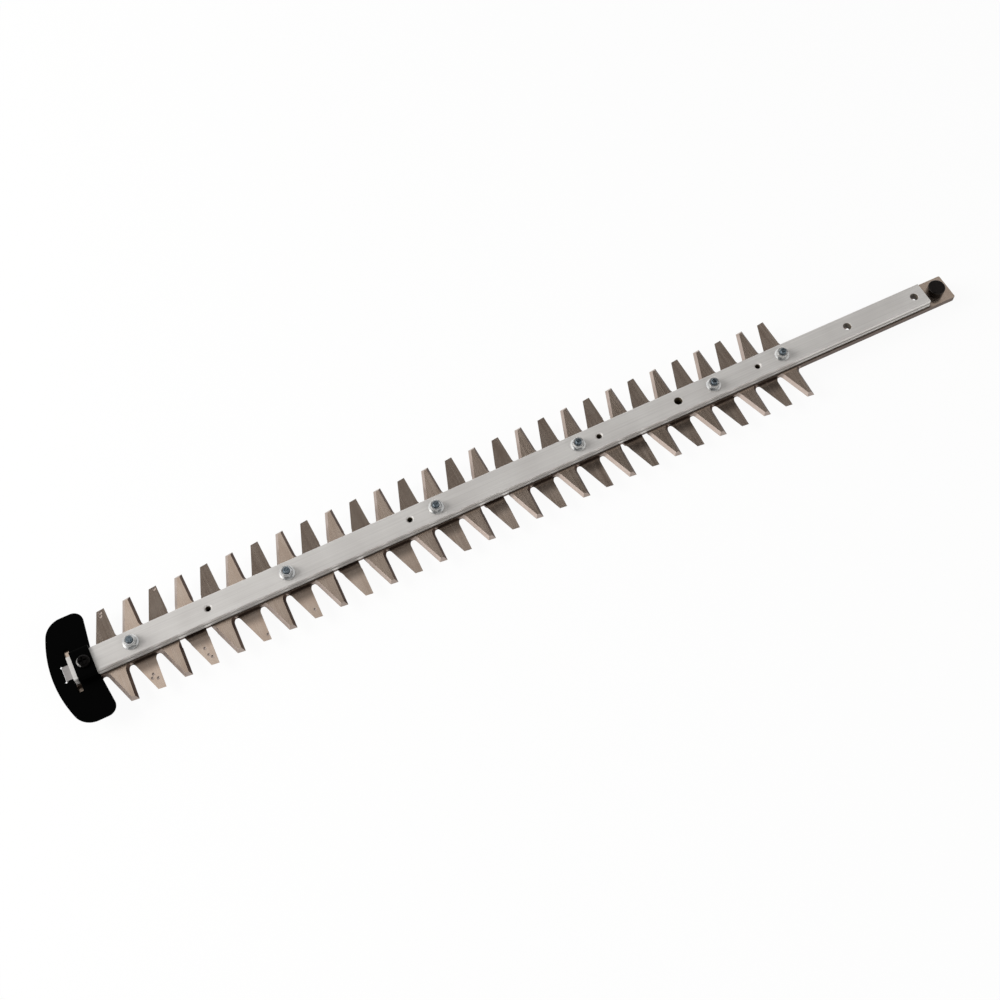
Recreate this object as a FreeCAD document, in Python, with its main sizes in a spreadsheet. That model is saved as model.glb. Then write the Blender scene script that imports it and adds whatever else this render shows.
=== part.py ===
import FreeCAD, Part
import math
import os
import Sketcher

# A double-sided hedge trimmer blade: two toothed blades that slide under a guide bar,
# held by bolts in slots, with a tip guard at the front and a drive pin on each tail.
# X runs from the tip to the tail, Y across the teeth and Z up. The origin is midway
# between the two gearbox holes, on the underside of the guide bar. Lengths are in mm.

sizes = {
    # blades
    "tooth_pitch": 40.0,         # between two teeth of one side of a blade
    "tooth_count": 15,           # on each side of a blade
    "tooth_reach": 38.6,         # from the middle line to the tip
    "tip_width": 5.8,            # along the tip, at the cutting face
    "tip_lead": 3.1,             # from a tooth's place to the tail-side corner of its tip
    "tip_drop": 0.7,             # how much lower the guard-side corner of the tip is
    "front_flank_angle": 19.5,   # guard-side flank, from square to the blade
    "rear_flank_angle": 1.8,     # tail-side flank
    "grind_width": 2.1,          # plan width of the ground bevel
    "root_radius": 5.0,
    "blade_thickness": 2.5,
    "spine_width": 23.0,
    "spine_front": 37.0,         # from the first near tooth to the front end of the spine
    "nose_reach": 18.5,          # from the middle line to the far edge of the wide front end
    "nose_length": 8.5,
    "nose_corner": 1.2,
    "tail_corner": 1.2,
    "waist_width": 18.0,         # spine width at its narrow places
    "waist_bite": 0.25,          # how far a narrow place cuts into the flanks beside it
    "waist_reach": 6.0,          # its length beside the tooth on the far side
    "waist_count": 4,
    "tail_length": 12.1,         # from the drive pin to the tail end
    "pin_offset": 54.6,          # from the origin to the drive pins
    "stroke_front": 5.0,         # travel towards the tip guard
    "stroke_rear": 15.0,         # travel towards the tail
    "blade_gap": 0.1,            # between the two cutting faces
    # guide bar
    "bar_width": 19.1,
    "bar_foot_width": 20.4,
    "bar_foot_height": 3.0,
    "bar_thickness": 6.5,
    "bar_rear": 42.0,            # from the origin to the rear end
    "bar_front": 10.6,           # from the guard screw to the front end
    "bar_edge_radius": 0.5,
    "bar_clearance": 0.15,       # between the bar and the upper blade
    "tongue_width": 11.4,
    "tongue_length": 5.4,
    "tongue_height": 2.0,
    "gearbox_hole": 6.6,
    "gearbox_spacing": 64.4,
    "gearbox_clearance": 0.75,   # round a gearbox bolt in the blades' slots
    "brace_hole_offset": 188.2,  # from the origin to the large hole further forward
    "small_hole": 4.2,
    "small_hole_count": 3,       # evenly spaced ones
    "small_hole_spacing": 160.0,
    "small_hole_lead": 58.4,     # from the first bolt to the first small hole
    "small_hole_gap": 142.2,     # between the last two small holes
    "small_sink": 1.0,           # depth of the small holes' countersink
    "large_sink": 0.2,
    # bolts, nuts, washers and guide bushes
    "bolt_spacing": 120.0,
    "bolt_count": 5,             # evenly spaced ones
    "rear_bolt_spacing": 62.8,   # from those to the last bolt
    "rear_bolt_offset": 93.8,    # from the origin to the last bolt
    "tooth_lead": 12.4,          # from the first tooth to the first bolt
    "bolt_diameter": 5.0,
    "bolt_hex": 8.0,
    "bolt_head": 3.5,
    "bolt_stand": 2.0,           # how far a bolt stands out of its nut
    "bolt_chamfer": 0.6,
    "bolt_turn": 23.0,           # degrees from one bolt to the next
    "nut_hex": 8.0,
    "nut_height": 5.0,
    "nut_flange": 11.8,
    "nut_rim": 1.0,
    "nut_turn": 37.0,            # degrees from one nut to the next
    "washer_diameter": 15.0,
    "washer_thickness": 1.0,
    "washer_gap": 0.15,          # between the lower blade and the washers
    "bush_diameter": 8.0,
    "bush_clearance": 0.15,      # round a bush in its slots
    "hole_clearance": 0.1,       # round a shank in its hole
    # drive pins
    "pin_diameter": 14.0,
    "pin_height": 6.6,
    "pin_chamfer": 0.5,
    "rivet_diameter": 8.0,
    "rivet_recess": 0.1,         # how far the riveted end lies inside the blade
    # tip guard and its screw
    "guard_half_width": 42.6,
    "guard_front": 24.7,         # from its screw to the front of the arc
    "guard_arc": 100.0,
    "guard_throat": 5.8,         # from its screw back to the middle of the V
    "guard_v_angle": 6.4,
    "guard_front_corner": 15.0,
    "guard_rear_corner": 7.5,
    "guard_thickness": 2.0,
    "guard_lift": 0.2,           # of its plate above the underside of the bar
    "strap_front": 7.4,          # from the screw to the front edge of the strap
    "strap_rear": 6.5,
    "strap_clearance": 0.2,      # beside the bar
    "strap_radius": 2.4,
    "slit_front": 11.0,          # from the screw to the front edge of the slit
    "slit_length": 34.8,
    "notch_clearance": 0.3,      # round the bar's tongue
    "notch_relief": 0.9,
    "guard_screw_lead": 34.7,    # from the guard screw to the first bolt
    "screw_diameter": 5.0,
    "screw_grip": 5.5,           # length in the bar
    "screw_head": 10.0,
    "screw_head_height": 3.0,
    "screw_rim": 1.0,            # height of the head's upright rim
    "screw_shoulder": 9.0,       # diameter and height where its slope eases
    "screw_shoulder_height": 2.2,
    "screw_flat": 7.2,           # diameter of its flat top
    "recess_width": 1.1,
    "recess_length": 5.4,
    "recess_depth": 1.7,
}

doc = FreeCAD.newDocument("hedge_trimmer_blade")
sheet = doc.addObject("Spreadsheet::Sheet", "sizes")
for row, (alias, number) in enumerate(sizes.items(), start=1):
    sheet.set(f"A{row}", alias)
    sheet.set(f"B{row}", str(number))
    sheet.setAlias(f"B{row}", alias)
doc.recompute()


def value(expression):
    return float(sheet.evalExpression(expression))


def bind(item, **expressions):
    for name, expression in expressions.items():
        item.setExpression(name, expression)


def place(item, x="0", y="0", z="0", turn=None):
    if turn is not None:
        item.Placement.Rotation = turn
    for axis, expression in (("x", x), ("y", y), ("z", z)):
        item.setExpression(f".Placement.Base.{axis}", expression)


# Places along X and heights, as expressions of the sizes
rear_bolt = "(-sizes.rear_bolt_offset)"
last_even_bolt = f"({rear_bolt} - sizes.rear_bolt_spacing)"
first_bolt = f"({last_even_bolt} - (sizes.bolt_count - 1) * sizes.bolt_spacing)"
first_tooth = f"({first_bolt} - sizes.tooth_lead)"
guard_screw = f"({first_bolt} - sizes.guard_screw_lead)"
bar_front_end = f"({guard_screw} - sizes.bar_front)"
upper_face = "(-sizes.bar_clearance)"
upper_cutting_face = f"({upper_face} - sizes.blade_thickness)"
lower_cutting_face = f"({upper_cutting_face} - sizes.blade_gap)"
lower_face = f"({lower_cutting_face} - sizes.blade_thickness)"
washer_top = f"({lower_face} - sizes.washer_gap)"
washer_bottom = f"({washer_top} - sizes.washer_thickness)"
nut_top = "(sizes.bar_thickness + sizes.nut_height)"
strap_top = "(sizes.bar_thickness + sizes.guard_thickness)"

gearbox_holes = ["(-sizes.gearbox_spacing / 2)", "(sizes.gearbox_spacing / 2)"]
even_bolts = [f"({first_bolt} + {i} * sizes.bolt_spacing)" for i in range(int(sizes["bolt_count"]))]
bolts = even_bolts + [rear_bolt]


def new_body(label):
    body = doc.addObject("PartDesign::Body", label)
    body.Label = label
    return body


def origin_part(body, role):
    return next(item for item in body.Origin.OriginFeatures if item.Role == role)


def new_sketch(body, name, plane="XY_Plane", offset="0"):
    sketch = body.newObject("Sketcher::SketchObject", name)
    sketch.AttachmentSupport = (origin_part(body, plane), [""])
    sketch.MapMode = "FlatFace"
    sketch.setExpression(".AttachmentOffset.Base.z", offset)
    return sketch


def pin_point(sketch, edge, point, x, y):
    for kind, expression in (("DistanceX", x), ("DistanceY", y)):
        index = sketch.addConstraint(
            Sketcher.Constraint(kind, -1, 1, edge, point, value(expression)))
        sketch.setExpression(f"Constraints[{index}]", expression)


def draw_outline(sketch, corners, arcs=None):
    # a closed outline through the corners; arcs gives the centre and radius of each side
    # that isn't straight, by the number of the corner that it starts from
    arcs = arcs or {}
    points = [FreeCAD.Vector(value(x), value(y), 0) for x, y in corners]
    following = points[1:] + points[:1]
    edges = []
    for i, (start, end) in enumerate(zip(points, following)):
        side = Part.LineSegment(start, end)
        if i in arcs:
            x, y, radius = arcs[i]
            centre = FreeCAD.Vector(value(x), value(y), 0)
            outwards = ((start + end) / 2 - centre).normalize()
            side = Part.Arc(start, centre + outwards * value(radius), end)
        edges.append(sketch.addGeometry(side, False))

    def end_at(edge, point):
        return 1 if (sketch.getPoint(edge, 1) - point).Length < 1e-6 else 2
    for i, edge in enumerate(edges):
        joined = edges[(i + 1) % len(edges)]
        sketch.addConstraint(Sketcher.Constraint(
            "Coincident", edge, end_at(edge, following[i]), joined, end_at(joined, following[i])))
        pin_point(sketch, edge, end_at(edge, points[i]), *corners[i])
        if i in arcs:
            index = sketch.addConstraint(Sketcher.Constraint("Radius", edge, value(arcs[i][2])))
            sketch.setExpression(f"Constraints[{index}]", arcs[i][2])


def draw_circle(sketch, x, y, diameter):
    centre = FreeCAD.Vector(value(x), value(y), 0)
    circle = Part.Circle(centre, FreeCAD.Vector(0, 0, 1), value(diameter) / 2)
    edge = sketch.addGeometry(circle, False)
    pin_point(sketch, edge, 3, x, y)
    index = sketch.addConstraint(Sketcher.Constraint("Diameter", edge, value(diameter)))
    sketch.setExpression(f"Constraints[{index}]", diameter)


def draw_slot(sketch, x_from, x_to, width):
    # two half circles about the ends' centres, joined by straight sides
    ends = ((x_from, math.pi / 2, 1.5 * math.pi), (x_to, 1.5 * math.pi, 2.5 * math.pi))
    arcs = []
    for x, start, end in ends:
        centre = FreeCAD.Vector(value(x), 0, 0)
        circle = Part.Circle(centre, FreeCAD.Vector(0, 0, 1), value(width) / 2)
        arc = sketch.addGeometry(Part.ArcOfCircle(circle, start, end), False)
        pin_point(sketch, arc, 3, x, "0")
        arcs.append(arc)
    for arc, other in (arcs, arcs[::-1]):
        line = Part.LineSegment(sketch.getPoint(arc, 2), sketch.getPoint(other, 1))
        side = sketch.addGeometry(line, False)
        sketch.addConstraint(Sketcher.Constraint("Tangent", arc, 2, side, 1))
        sketch.addConstraint(Sketcher.Constraint("Tangent", side, 2, other, 1))
    index = sketch.addConstraint(Sketcher.Constraint("Diameter", arcs[0], value(width)))
    sketch.setExpression(f"Constraints[{index}]", width)


def pad(body, name, sketch, length, taper=None, both_ways=False):
    feature = body.newObject("PartDesign::Pad", name)
    feature.Profile = sketch
    feature.setExpression("Length", length)
    feature.Midplane = both_ways
    if taper is not None:
        feature.setExpression("TaperAngle", taper)
    doc.recompute()
    return feature


def cut_through(body, name, sketch):
    before = body.Shape.Volume
    feature = body.newObject("PartDesign::Pocket", name)
    feature.Profile = sketch
    feature.Type = "ThroughAll"
    feature.Midplane = True
    doc.recompute()
    assert body.Shape.Volume < before - 0.01, f"{name} cuts nothing"
    return feature


def repeat(body, name, features, spacing, count):
    pattern = body.newObject("PartDesign::LinearPattern", name)
    pattern.Originals = features
    pattern.Direction = (origin_part(body, "X_Axis"), [""])
    pattern.setExpression("Length", f"({count} - 1) * {spacing}")
    pattern.setExpression("Occurrences", count)
    body.Tip = pattern
    doc.recompute()
    return pattern


def dress(body, kind, name, chosen, size):
    # a fillet or chamfer on the edges of the body that the test picks
    base = body.Tip
    picked = [f"Edge{i}" for i, edge in enumerate(base.Shape.Edges, start=1) if chosen(edge)]
    assert picked, f"{name} finds no edge"
    feature = body.newObject(f"PartDesign::{kind}", name)
    feature.Base = (base, picked)
    feature.setExpression("Radius" if kind == "Fillet" else "Size", size)
    doc.recompute()
    return feature


def ends_of(edge):
    return edge.Vertexes[0].Point, edge.Vertexes[-1].Point


def is_upright(edge):
    start, end = ends_of(edge)
    return math.hypot(end.x - start.x, end.y - start.y) < 1e-6 < abs(end.z - start.z)


def build_blade(label):
    # The cutting face lies at the body's z = 0, with the ground bevels above it.
    # Teeth stand on both sides, those of the far side half a pitch further forward.
    body = new_body(label)
    pitch = "sizes.tooth_pitch"
    thickness = "sizes.blade_thickness"
    half_spine = "(sizes.spine_width / 2)"
    tail_end = f"(sizes.pin_offset + sizes.tail_length - {first_tooth})"

    nose_end = "(-sizes.spine_front)"
    nose_root = "(sizes.nose_length - sizes.spine_front)"
    spine = new_sketch(body, "spine_outline")
    draw_outline(spine, [(nose_end, f"-{half_spine}"), (tail_end, f"-{half_spine}"), (tail_end, half_spine),
                         (nose_root, half_spine), (nose_root, "sizes.nose_reach"),
                         (nose_end, "sizes.nose_reach")])
    pad(body, "spine", spine, thickness)
    for end, rear in (("nose", False), ("tail", True)):
        def is_corner(edge):
            return is_upright(edge) and (ends_of(edge)[0].x > 0) == rear
        dress(body, "Fillet", f"{end}_corners", is_corner, f"sizes.{end}_corner")

    # A tooth's outline on the cutting face, from its place on the middle line: two flanks, the tip
    # between them, and a round root on each side that runs out along the edge of the spine
    radius = "sizes.root_radius"
    rear_tip = "sizes.tip_lead"
    front_tip = "(sizes.tip_lead - sizes.tip_width)"
    front_reach = "(sizes.tooth_reach - sizes.tip_drop)"
    root_height = f"({half_spine} + {radius})"
    front_lean = "(sizes.front_flank_angle * 1 deg)"
    rear_lean = "(sizes.rear_flank_angle * 1 deg)"

    def front_flank(height):
        return f"({front_tip} - ({front_reach} - {height}) * tan({front_lean}))"

    def rear_flank(height):
        return f"({rear_tip} + (sizes.tooth_reach - {height}) * tan({rear_lean}))"
    front_centre = f"({front_flank(root_height)} - {radius} / cos({front_lean}))"
    rear_centre = f"({rear_flank(root_height)} + {radius} / cos({rear_lean}))"
    front_touch = f"({root_height} - {radius} * sin({front_lean}))"
    rear_touch = f"({root_height} - {radius} * sin({rear_lean}))"
    base = "(sizes.waist_width / 4)"
    tooth_corners = [(front_centre, base), (front_centre, half_spine),
                     (front_flank(front_touch), front_touch), (front_tip, front_reach),
                     (rear_tip, "sizes.tooth_reach"), (rear_flank(rear_touch), rear_touch),
                     (rear_centre, half_spine), (rear_centre, base)]
    tooth_arcs = {1: (front_centre, root_height, radius), 5: (rear_centre, root_height, radius)}
    grind_angle = "-atan(sizes.grind_width / sizes.blade_thickness)"

    for side, sign, shift in (("near", "-", "0"), ("far", "", f"(-{pitch} / 2)")):
        def on_side(x, y):
            return f"({shift} + {x})", f"({sign}{y})"
        outline = new_sketch(body, f"{side}_tooth_outline")
        draw_outline(outline, [on_side(x, y) for x, y in tooth_corners],
                     {i: (*on_side(x, y), r) for i, (x, y, r) in tooth_arcs.items()})
        tooth = pad(body, f"{side}_tooth", outline, thickness, taper=grind_angle)
        repeat(body, f"{side}_teeth", [tooth], pitch, "sizes.tooth_count")

    # Midway between bolts the spine is narrower: on the near side all along one gap, and on the
    # far side at both roots of the tooth that stands opposite that gap
    waist = "(sizes.waist_width / 2)"
    bite = "sizes.waist_bite"

    def waist_side(flank, shift, way):
        return [(f"({shift} + {flank(y)} {way} {bite})", y) for y in (waist, root_height)]
    gap_front = waist_side(rear_flank, pitch, "-")
    gap_rear = waist_side(front_flank, f"2 * {pitch}", "+")
    far_front = waist_side(front_flank, f"1.5 * {pitch}", "+")
    far_rear = waist_side(rear_flank, f"1.5 * {pitch}", "-")
    reliefs = new_sketch(body, "relief_outlines")
    near_corners = [gap_front[0], gap_front[1], gap_rear[1], gap_rear[0]]
    draw_outline(reliefs, [(x, f"(-{y})") for x, y in near_corners])
    for inner, way in ((far_front, "-"), (far_rear, "+")):
        outer = [(f"({x} {way} sizes.waist_reach)", y) for x, y in inner]
        draw_outline(reliefs, [inner[0], inner[1], outer[1], outer[0]])
    relief = cut_through(body, "relief", reliefs)
    repeat(body, "waists", [relief], "sizes.bolt_spacing", "sizes.waist_count")

    # Slots for the guide bushes, and wider apart behind them two for the gearbox bolts
    bush_slot = "(sizes.bush_diameter + 2 * sizes.bush_clearance)"
    gearbox_slot = "(sizes.gearbox_hole + 2 * sizes.gearbox_clearance)"
    for name, at, width in (("front_slot", first_bolt, bush_slot), ("rear_slot", rear_bolt, bush_slot),
                            ("front_gearbox_slot", gearbox_holes[0], gearbox_slot),
                            ("rear_gearbox_slot", gearbox_holes[1], gearbox_slot)):
        slot = new_sketch(body, f"{name}_outline")
        draw_slot(slot, f"({at} - {first_tooth} - sizes.stroke_rear)",
                  f"({at} - {first_tooth} + sizes.stroke_front)", width)
        slot_cut = cut_through(body, name, slot)
        if at == first_bolt:
            repeat(body, "bush_slots", [slot_cut], "sizes.bolt_spacing", "sizes.bolt_count")

    hole = new_sketch(body, "rivet_hole_outline")
    hole_width = "(sizes.rivet_diameter + 2 * sizes.hole_clearance)"
    draw_circle(hole, f"(sizes.pin_offset - {first_tooth})", "0", hole_width)
    cut_through(body, "rivet_hole", hole)
    return body


def build_drive_pin(label):
    # A turned pin: its head stands on the blade and its riveted end fills the blade's hole
    body = new_body(label)
    head_radius = "(sizes.pin_diameter / 2)"
    rivet_radius = "(sizes.rivet_diameter / 2)"
    rivet_end = "(sizes.rivet_recess - sizes.blade_thickness)"
    profile = new_sketch(body, "profile", "XZ_Plane")
    draw_outline(profile, [("0", rivet_end), (rivet_radius, rivet_end), (rivet_radius, "0"),
                           (head_radius, "0"), (head_radius, "(sizes.pin_height - sizes.pin_chamfer)"),
                           (f"({head_radius} - sizes.pin_chamfer)", "sizes.pin_height"),
                           ("0", "sizes.pin_height")])
    turn = body.newObject("PartDesign::Revolution", "turned")
    turn.Profile = profile
    turn.ReferenceAxis = (profile, ["V_Axis"])
    turn.Angle = 360
    doc.recompute()
    return body


def build_guide_bar(label):
    body = new_body(label)
    half_width = "(sizes.bar_width / 2)"
    half_foot = "(sizes.bar_foot_width / 2)"
    section = new_sketch(body, "section", "YZ_Plane", bar_front_end)
    ledge = "sizes.bar_foot_height"
    top = "sizes.bar_thickness"
    draw_outline(section, [(f"-{half_foot}", "0"), (half_foot, "0"), (half_foot, ledge), (half_width, ledge),
                           (half_width, top), (f"-{half_width}", top), (f"-{half_width}", ledge),
                           (f"-{half_foot}", ledge)])
    pad(body, "bar", section, f"(sizes.bar_rear - {bar_front_end})")

    def is_top_edge(edge):
        start, end = ends_of(edge)
        long_one = abs(end.x - start.x) > value("sizes.bar_rear")
        return long_one and min(start.z, end.z) > value("sizes.bar_thickness") - 1e-6
    dress(body, "Fillet", "top_edges", is_top_edge, "sizes.bar_edge_radius")

    tongue = new_sketch(body, "tongue_outline")
    half_tongue = "(sizes.tongue_width / 2)"
    tongue_end = f"({bar_front_end} - sizes.tongue_length)"
    tongue_root = f"({bar_front_end} + sizes.tongue_length)"
    draw_outline(tongue, [(tongue_end, f"-{half_tongue}"), (tongue_root, f"-{half_tongue}"),
                          (tongue_root, half_tongue), (tongue_end, half_tongue)])
    pad(body, "tongue", tongue, "sizes.tongue_height")

    first_small = f"({first_bolt} + sizes.small_hole_lead)"
    count = int(sizes["small_hole_count"])
    small = [f"({first_small} + {i} * sizes.small_hole_spacing)" for i in range(count)]
    small.append(f"({small[-1]} + sizes.small_hole_gap)")
    large = ["-sizes.brace_hole_offset", *gearbox_holes]
    bolt_hole = "(sizes.bolt_diameter + 2 * sizes.hole_clearance)"
    screw_hole = "(sizes.screw_diameter + 2 * sizes.hole_clearance)"
    holes = new_sketch(body, "hole_outlines")
    for places, diameter in ((bolts, bolt_hole), ([guard_screw], screw_hole),
                             (small, "sizes.small_hole"), (large, "sizes.gearbox_hole")):
        for x in places:
            draw_circle(holes, x, "0", diameter)
    cut_through(body, "holes", holes)

    for name, places, sink in (("small_sinks", small, "sizes.small_sink"),
                               ("large_sinks", large, "sizes.large_sink")):
        centres = [value(x) for x in places]

        def is_mouth(edge):
            if edge.Curve.TypeId != "Part::GeomCircle":
                return False
            centre = edge.Curve.Center
            on_top = centre.z > value("sizes.bar_thickness") - 1e-6
            return on_top and any(abs(centre.x - x) < 1e-3 for x in centres)
        dress(body, "Chamfer", name, is_mouth, sink)
    return body


def build_tip_guard(label):
    # A pressed plate with a strap raised over the front end of the bar. The body's own origin
    # is under its screw, level with the underside of the bar.
    body = new_body(label)
    half_width = "sizes.guard_half_width"
    front = "(-sizes.guard_front)"
    arc_depth = f"(sizes.guard_arc - sqrt(sizes.guard_arc ^ 2 - {half_width} ^ 2))"
    throat = "sizes.guard_throat"
    wing = f"({throat} + {half_width} * tan(sizes.guard_v_angle * 1 deg))"
    outline = new_sketch(body, "outline", offset="sizes.guard_lift")
    corner_x = f"({front} + {arc_depth})"
    corners = [(corner_x, f"(-{half_width})"), (wing, f"(-{half_width})"), (throat, "0"),
               (wing, half_width), (corner_x, half_width)]
    draw_outline(outline, corners, {4: (f"({front} + sizes.guard_arc)", "0", "sizes.guard_arc")})
    pad(body, "plate", outline, "sizes.guard_thickness")

    for end, rear in (("front", False), ("rear", True)):
        def is_corner(edge):
            start, _ = ends_of(edge)
            at_edge = abs(abs(start.y) - value(half_width)) < 1e-3
            return is_upright(edge) and at_edge and (start.x > 0) == rear
        dress(body, "Fillet", f"{end}_corners", is_corner, f"sizes.guard_{end}_corner")

    # The bar's channel, the slit in front of the strap and the notch for the bar's tongue
    half_channel = "(sizes.bar_foot_width / 2 + sizes.strap_clearance)"
    half_slit = "(sizes.slit_length / 2)"
    slit_front = "(-sizes.slit_front)"
    slit_rear = "(-sizes.strap_front)"
    half_notch = "(sizes.tongue_width / 2 + sizes.notch_clearance)"
    notch_front = "(-sizes.bar_front - sizes.tongue_length - sizes.notch_clearance)"
    window = new_sketch(body, "window_outline")
    draw_outline(window, [(notch_front, f"(-{half_notch})"), (slit_front, f"(-{half_notch})"),
                          (slit_front, f"(-{half_slit})"), (slit_rear, f"(-{half_slit})"),
                          (slit_rear, f"(-{half_channel})"), (wing, f"(-{half_channel})"),
                          (wing, half_channel), (slit_rear, half_channel), (slit_rear, half_slit),
                          (slit_front, half_slit), (slit_front, half_notch), (notch_front, half_notch)])
    cut_through(body, "window", window)
    reliefs = new_sketch(body, "relief_outlines")
    for side in ("-", ""):
        draw_circle(reliefs, notch_front, f"({side}{half_notch})", "(2 * sizes.notch_relief)")
    cut_through(body, "reliefs", reliefs)

    half_strap = f"({half_channel} + sizes.guard_thickness)"
    strap = new_sketch(body, "strap_section", "YZ_Plane", "(-sizes.strap_front)")
    draw_outline(strap, [(f"(-{half_strap})", "sizes.guard_lift"), (f"(-{half_channel})", "sizes.guard_lift"),
                         (f"(-{half_channel})", "sizes.bar_thickness"), (half_channel, "sizes.bar_thickness"),
                         (half_channel, "sizes.guard_lift"), (half_strap, "sizes.guard_lift"),
                         (half_strap, strap_top), (f"(-{half_strap})", strap_top)])
    pad(body, "strap", strap, "(sizes.strap_front + sizes.strap_rear)")

    def is_strap_shoulder(edge):
        start, end = ends_of(edge)
        lengthwise = abs(end.x - start.x) > value("sizes.strap_rear") and abs(start.y - end.y) < 1e-6
        return lengthwise and min(start.z, end.z) > value(strap_top) - 1e-6
    dress(body, "Fillet", "strap_shoulders", is_strap_shoulder, "sizes.strap_radius")

    hole = new_sketch(body, "screw_hole_outline")
    draw_circle(hole, "0", "0", "(sizes.screw_diameter + 2 * sizes.hole_clearance)")
    cut_through(body, "screw_hole", hole)
    return body


def build_guard_screw(label):
    # A pan head with a cross recess; the body's z = 0 is the underside of the head
    body = new_body(label)
    profile = new_sketch(body, "profile", "XZ_Plane")
    shank = "(sizes.screw_diameter / 2)"
    head = "(sizes.screw_head / 2)"
    tip = "(-sizes.guard_thickness - sizes.screw_grip)"
    top = "sizes.screw_head_height"
    draw_outline(profile, [("0", tip), (shank, tip), (shank, "0"), (head, "0"), (head, "sizes.screw_rim"),
                           ("(sizes.screw_shoulder / 2)", "sizes.screw_shoulder_height"),
                           ("(sizes.screw_flat / 2)", top), ("0", top)])
    turn = body.newObject("PartDesign::Revolution", "turned")
    turn.Profile = profile
    turn.ReferenceAxis = (profile, ["V_Axis"])
    turn.Angle = 360
    doc.recompute()
    for name, along, across in (("recess_x", "recess_length", "recess_width"),
                                ("recess_y", "recess_width", "recess_length")):
        recess = new_sketch(body, f"{name}_outline", offset="(sizes.screw_head_height - sizes.recess_depth)")
        half_x, half_y = f"(sizes.{along} / 2)", f"(sizes.{across} / 2)"
        draw_outline(recess, [(f"-{half_x}", f"-{half_y}"), (half_x, f"-{half_y}"),
                              (half_x, half_y), (f"-{half_x}", half_y)])
        before = body.Shape.Volume
        cut = body.newObject("PartDesign::Pocket", name)
        cut.Profile = recess
        cut.Reversed = True
        cut.setExpression("Length", "sizes.recess_depth")
        doc.recompute()
        assert body.Shape.Volume < before - 0.01, f"{name} cuts nothing"
    return body


def primitive(kind, name, **expressions):
    item = doc.addObject(f"Part::{kind}", name)
    bind(item, **expressions)
    return item


def hexagon(name, across_flats, height):
    prism = doc.addObject("Part::Prism", name)
    prism.Polygon = 6
    bind(prism, Circumradius=f"{across_flats} / sqrt(3)", Height=height)
    return prism


def build_bolt():
    # Hexagon head downwards; z = 0 is the seat of the head
    head = hexagon("bolt_head", "sizes.bolt_hex", "sizes.bolt_head")
    place(head, z="-sizes.bolt_head")
    length = f"({nut_top} + sizes.bolt_stand - {washer_bottom})"
    shank = primitive("Cylinder", "bolt_shank", Radius="sizes.bolt_diameter / 2",
                      Height=f"{length} - sizes.bolt_chamfer")
    end = primitive("Cone", "bolt_end", Radius1="sizes.bolt_diameter / 2",
                    Radius2="sizes.bolt_diameter / 2 - sizes.bolt_chamfer", Height="sizes.bolt_chamfer")
    place(end, z=f"{length} - sizes.bolt_chamfer")
    bolt = doc.addObject("Part::MultiFuse", "bolt")
    bolt.Shapes = [head, shank, end]
    return bolt


def build_nut():
    # Flange downwards; z = 0 is the seat of the flange
    corner = "(sizes.nut_hex / sqrt(3))"
    hexagonal = hexagon("nut_hexagon", "sizes.nut_hex", "sizes.nut_height")
    # a cone with a 30 degree slope rounds off the top corners of the hexagon
    crown_height = "(sizes.nut_height + sizes.nut_hex / 2 * tan(30 deg))"
    crown = primitive("Cone", "nut_crown", Radius1=f"{crown_height} / tan(30 deg)", Radius2="0",
                      Height=crown_height)
    crowned = doc.addObject("Part::MultiCommon", "nut_crowned")
    crowned.Shapes = [hexagonal, crown]
    rim = primitive("Cylinder", "nut_rim", Radius="sizes.nut_flange / 2", Height="sizes.nut_rim")
    slope = primitive("Cone", "nut_slope", Radius1="sizes.nut_flange / 2", Radius2=corner,
                      Height=f"(sizes.nut_flange / 2 - {corner}) * tan(30 deg)")
    place(slope, z="sizes.nut_rim")
    solid = doc.addObject("Part::MultiFuse", "nut_solid")
    solid.Shapes = [crowned, rim, slope]
    bore = primitive("Cylinder", "nut_bore", Radius="sizes.bolt_diameter / 2 + sizes.hole_clearance",
                     Height="2 * sizes.nut_height")
    place(bore, z="-sizes.nut_height / 2")
    nut = doc.addObject("Part::Cut", "nut")
    nut.Base = solid
    nut.Tool = bore
    return nut


def build_ring(label, outer, length):
    # a washer or bush that fits the bolts
    body = primitive("Cylinder", f"{label}_body", Radius=f"{outer} / 2", Height=length)
    bore = primitive("Cylinder", f"{label}_bore", Radius="sizes.bolt_diameter / 2 + sizes.hole_clearance",
                     Height=length)
    ring = doc.addObject("Part::Cut", label)
    ring.Label = label
    ring.Base = body
    ring.Tool = bore
    return ring


def group_at_bolts(label, one, z, turn_step=0):
    # copies of one fastener on every bolt's axis, each turned a little from the one before
    doc.recompute()
    copies = []
    for i, x in enumerate(bolts):
        turn = FreeCAD.Rotation(FreeCAD.Vector(0, 0, 1), i * turn_step)
        at = FreeCAD.Placement(FreeCAD.Vector(value(x), 0, value(z)), turn)
        copies.append(one.Shape.transformed(at.toMatrix()))
    group = doc.addObject("Part::Feature", label)
    group.Label = label
    group.Shape = Part.makeCompound(copies)
    return group


half_turn = FreeCAD.Rotation(FreeCAD.Vector(1, 0, 0), 180)

guide_bar = build_guide_bar("guide_bar")

upper_blade = build_blade("upper_blade")
place(upper_blade, x=first_tooth, z=upper_cutting_face)
lower_blade = build_blade("lower_blade")
place(lower_blade, x=first_tooth, z=lower_cutting_face, turn=half_turn)

upper_drive_pin = build_drive_pin("upper_drive_pin")
place(upper_drive_pin, x="sizes.pin_offset", z=upper_face)
lower_drive_pin = build_drive_pin("lower_drive_pin")
place(lower_drive_pin, x="sizes.pin_offset", z=lower_face, turn=half_turn)

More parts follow.
